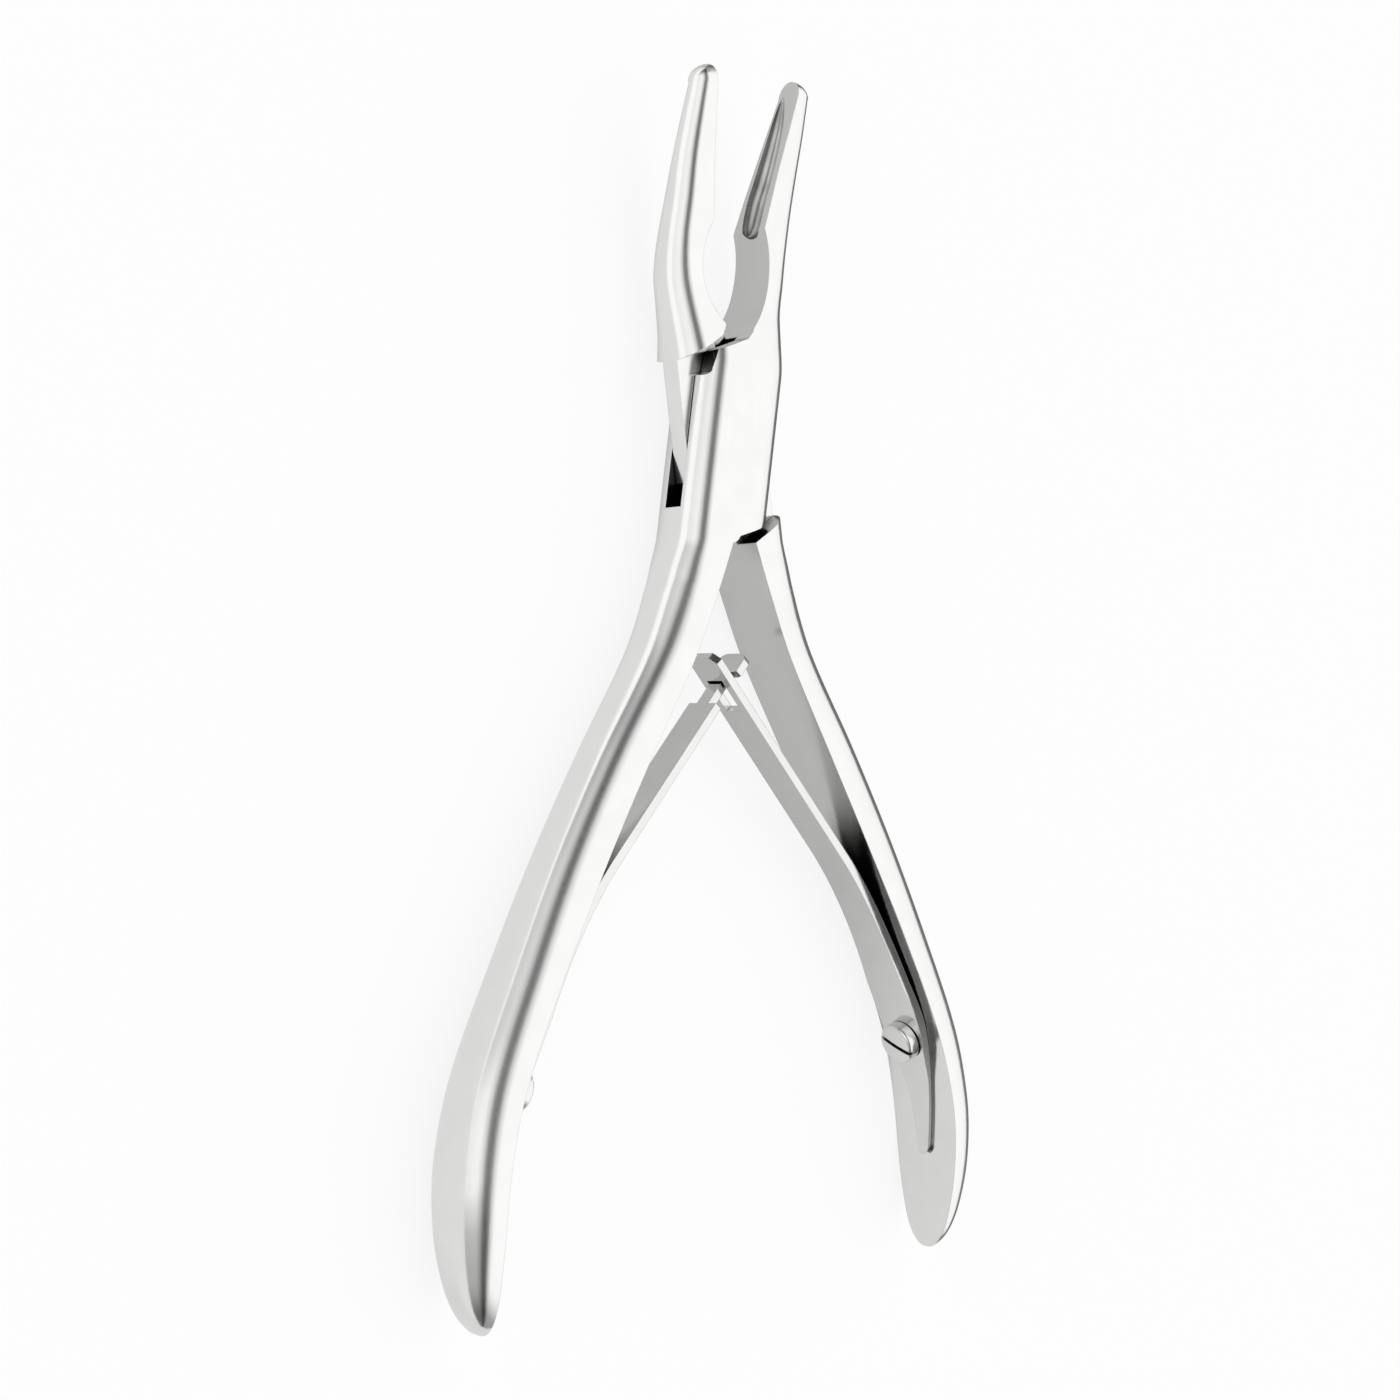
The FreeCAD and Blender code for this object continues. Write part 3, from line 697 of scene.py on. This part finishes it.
# the head's round corners, the narrow tongue behind it and the shoulders where it widens
tongue_side = [(0, 0), (0, 1.1)] + curve((0, 1.1), (0.35, 1.95), (1.2, 2.3), 6)[1:]
tongue_side += curve((2.3, 2.3), (2.65, 2.15), (2.8, 1.8), 4) + [(2.8, 1.0), (7.4, 1.0), (7.4, blade_half)]
tongue = make_spring("tongue_spring_strip", whole_plan(tongue_side[1:] + spring_side(7.5)), None, -1)
dress(tongue, "tongue_spring", None, strip_steel)
bend_with(tongue)

# the corners of its tip are cut off, and the tongue hooks through its window
slotted_side = [(0, blade_half - 0.9)] + spring_side(0.9)
window = [(3.3, -1.3), (7.8, -1.3), (7.8, 1.3), (3.3, 1.3)]
slotted = make_spring("slotted_spring_strip", whole_plan(slotted_side), window, 1)
dress(slotted, "slotted_spring", None, strip_steel)
bend_with(slotted)


# The two spring screws. Cheese-head screws with a slot, turned from stainless bar, their rims
# rounded and polished. One Geometry Nodes tree makes both, each with its slot at its own angle.
screw_tree = bpy.data.node_groups.new("spring_screw", "GeometryNodeTree")
screw_sizes = {"Head diameter": 5.0, "Head height": 1.5, "Rim": 0.5, "Crown": 0.12, "Slot width": 0.52,
               "Slot depth": 0.7, "Slot turn": 0.0, "Shank diameter": 2.2, "Shank length": 4.4}
for name, size in screw_sizes.items():
    screw_tree.interface.new_socket(name, in_out="INPUT", socket_type="NodeSocketFloat").default_value = size
screw_tree.interface.new_socket("Finish", in_out="INPUT", socket_type="NodeSocketMaterial")
screw_tree.interface.new_socket("Geometry", in_out="OUTPUT", socket_type="NodeSocketGeometry")
given = add(screw_tree, "NodeGroupInput").outputs

# the bar for the head, standing on the spring
head_radius = add(screw_tree, "Math", {0: given["Head diameter"], 1: 0.5}, operation="MULTIPLY")
half_height = add(screw_tree, "Math", {0: given["Head height"], 1: 0.5}, operation="MULTIPLY")
bar = add(screw_tree, "GeometryNodeMeshCylinder",
          {"Vertices": 96, "Side Segments": 20, "Fill Segments": 8, "Radius": head_radius,
           "Depth": given["Head height"]})
upwards = add(screw_tree, "CombineXYZ", {"Z": half_height})
raised = add(screw_tree, "GeometryNodeTransform", {"Geometry": bar, "Translation": upwards})
at = add(screw_tree, "SeparateXYZ", {0: add(screw_tree, "GeometryNodeInputPosition")}).outputs
# how far a point has climbed up the rim, which draws in along a quarter of a circle
rim_foot = add(screw_tree, "Math", {0: given["Head height"], 1: given["Rim"]}, operation="SUBTRACT")
climb = add(screw_tree, "Math", {0: at["Z"], 1: rim_foot}, operation="SUBTRACT")
climb = add(screw_tree, "Math", {0: climb, 1: given["Rim"]}, operation="DIVIDE")
climb = add(screw_tree, "Clamp", {0: climb})
drawn_in = add(screw_tree, "Math", {0: climb, 1: climb}, operation="MULTIPLY")
drawn_in = add(screw_tree, "Math", {0: 1.0, 1: drawn_in}, operation="SUBTRACT")
drawn_in = add(screw_tree, "Math", {0: drawn_in}, operation="SQRT")
drawn_in = add(screw_tree, "Math", {0: 1.0, 1: drawn_in}, operation="SUBTRACT")
rim_share = add(screw_tree, "Math", {0: given["Rim"], 1: head_radius}, operation="DIVIDE")
narrow = add(screw_tree, "Math", {0: drawn_in, 1: rim_share}, operation="MULTIPLY")
narrow = add(screw_tree, "Math", {0: 1.0, 1: narrow}, operation="SUBTRACT")
# the top rises to a low crown at the middle
flat_spot = add(screw_tree, "CombineXYZ", {"X": at["X"], "Y": at["Y"]})
from_axis = add(screw_tree, "VectorMath", {0: flat_spot}, operation="LENGTH").outputs["Value"]
from_axis = add(screw_tree, "Math", {0: from_axis, 1: head_radius}, operation="DIVIDE")
crown = add(screw_tree, "Math", {0: from_axis, 1: from_axis}, operation="MULTIPLY")
crown = add(screw_tree, "Math", {0: 1.0, 1: crown}, operation="SUBTRACT")
crown = add(screw_tree, "Math", {0: crown, 1: given["Crown"]}, operation="MULTIPLY")
crown = add(screw_tree, "Math", {0: crown, 1: climb}, operation="MULTIPLY")
turned_spot = add(screw_tree, "CombineXYZ", {
    "X": add(screw_tree, "Math", {0: at["X"], 1: narrow}, operation="MULTIPLY"),
    "Y": add(screw_tree, "Math", {0: at["Y"], 1: narrow}, operation="MULTIPLY"),
    "Z": add(screw_tree, "Math", {0: at["Z"], 1: crown}, operation="ADD")})
head = add(screw_tree, "GeometryNodeSetPosition", {"Geometry": raised, "Position": turned_spot})
# the slot is sawn across the whole head
saw_size = add(screw_tree, "CombineXYZ", {
    "X": add(screw_tree, "Math", {0: given["Head diameter"], 1: 2.0}, operation="MULTIPLY"),
    "Y": given["Slot width"],
    "Z": add(screw_tree, "Math", {0: given["Slot depth"], 1: 2.0}, operation="MULTIPLY")})
saw = add(screw_tree, "GeometryNodeMeshCube", {"Size": saw_size})
saw = add(screw_tree, "GeometryNodeTransform", {
    "Geometry": saw, "Translation": add(screw_tree, "CombineXYZ", {"Z": given["Head height"]}),
    "Rotation": add(screw_tree, "CombineXYZ", {"Z": given["Slot turn"]})})
sawn = add(screw_tree, "GeometryNodeMeshBoolean", {"Mesh 1": head, "Mesh 2": saw},
           operation="DIFFERENCE", solver="EXACT")
# the shank goes down through the spring into the handle
shank_radius = add(screw_tree, "Math", {0: given["Shank diameter"], 1: 0.5}, operation="MULTIPLY")
half_shank = add(screw_tree, "Math", {0: given["Shank length"], 1: -0.5}, operation="MULTIPLY")
shank = add(screw_tree, "GeometryNodeMeshCylinder",
            {"Vertices": 48, "Radius": shank_radius, "Depth": given["Shank length"]})
downwards = add(screw_tree, "CombineXYZ", {"Z": half_shank})
shank = add(screw_tree, "GeometryNodeTransform", {"Geometry": shank, "Translation": downwards})
both = add(screw_tree, "GeometryNodeJoinGeometry", {0: sawn})
screw_tree.links.new(shank.outputs[0], both.inputs[0])
real = add(screw_tree, "GeometryNodeRealizeInstances", {"Geometry": both})
finished = add(screw_tree, "GeometryNodeSetMaterial", {"Geometry": real, "Material": given["Finish"]})
add(screw_tree, "NodeGroupOutput", {"Geometry": finished})

# turned bar keeps a slightly softer shine than the polished strip
turned_steel = steel_finish("turned_stainless_steel", ("#E6E6E5", "#DEDEDD"), 0.14, 0.00015, 0.00015)
# the head stands this far off the handle, just clear of the foot, and the shank ends 3 mm deep
under_head = seat_gap + foot_thick + 0.2
bite = 3.0
for name, node, body, side, slot_turn in (
        ("left_spring_screw_turned", "left_spring_screw", "box_side", -1, 40),
        ("right_spring_screw_turned", "right_spring_screw", "insert_side", 1, -25)):
    screw = mesh_object(name, [], [])
    maker = screw.modifiers.new("screw", "NODES")
    maker.node_group = screw_tree
    for socket in screw_tree.interface.items_tree:
        if socket.name == "Slot turn":
            maker[socket.identifier] = radians(slot_turn)
        if socket.name == "Finish":
            maker[socket.identifier] = turned_steel
        if socket.name == "Shank length":
            maker[socket.identifier] = under_head + bite
    plain_mesh(screw)
    seat, away_from = screw_seat(1)
    seat += under_head * away_from
    lay = Matrix(((0, away_from.y, away_from.x, seat.x), (0, -away_from.x, away_from.y, seat.y),
                  (1, 0, 0, 0), (0, 0, 0, 1)))
    screw.data.transform(lay)
    if side < 0:
        screw.data.transform(Matrix.Scale(-1, 4, (1, 0, 0)))
        screw.data.flip_normals()
    turn_open(screw, side)
    dress(screw, node, body, turned_steel)
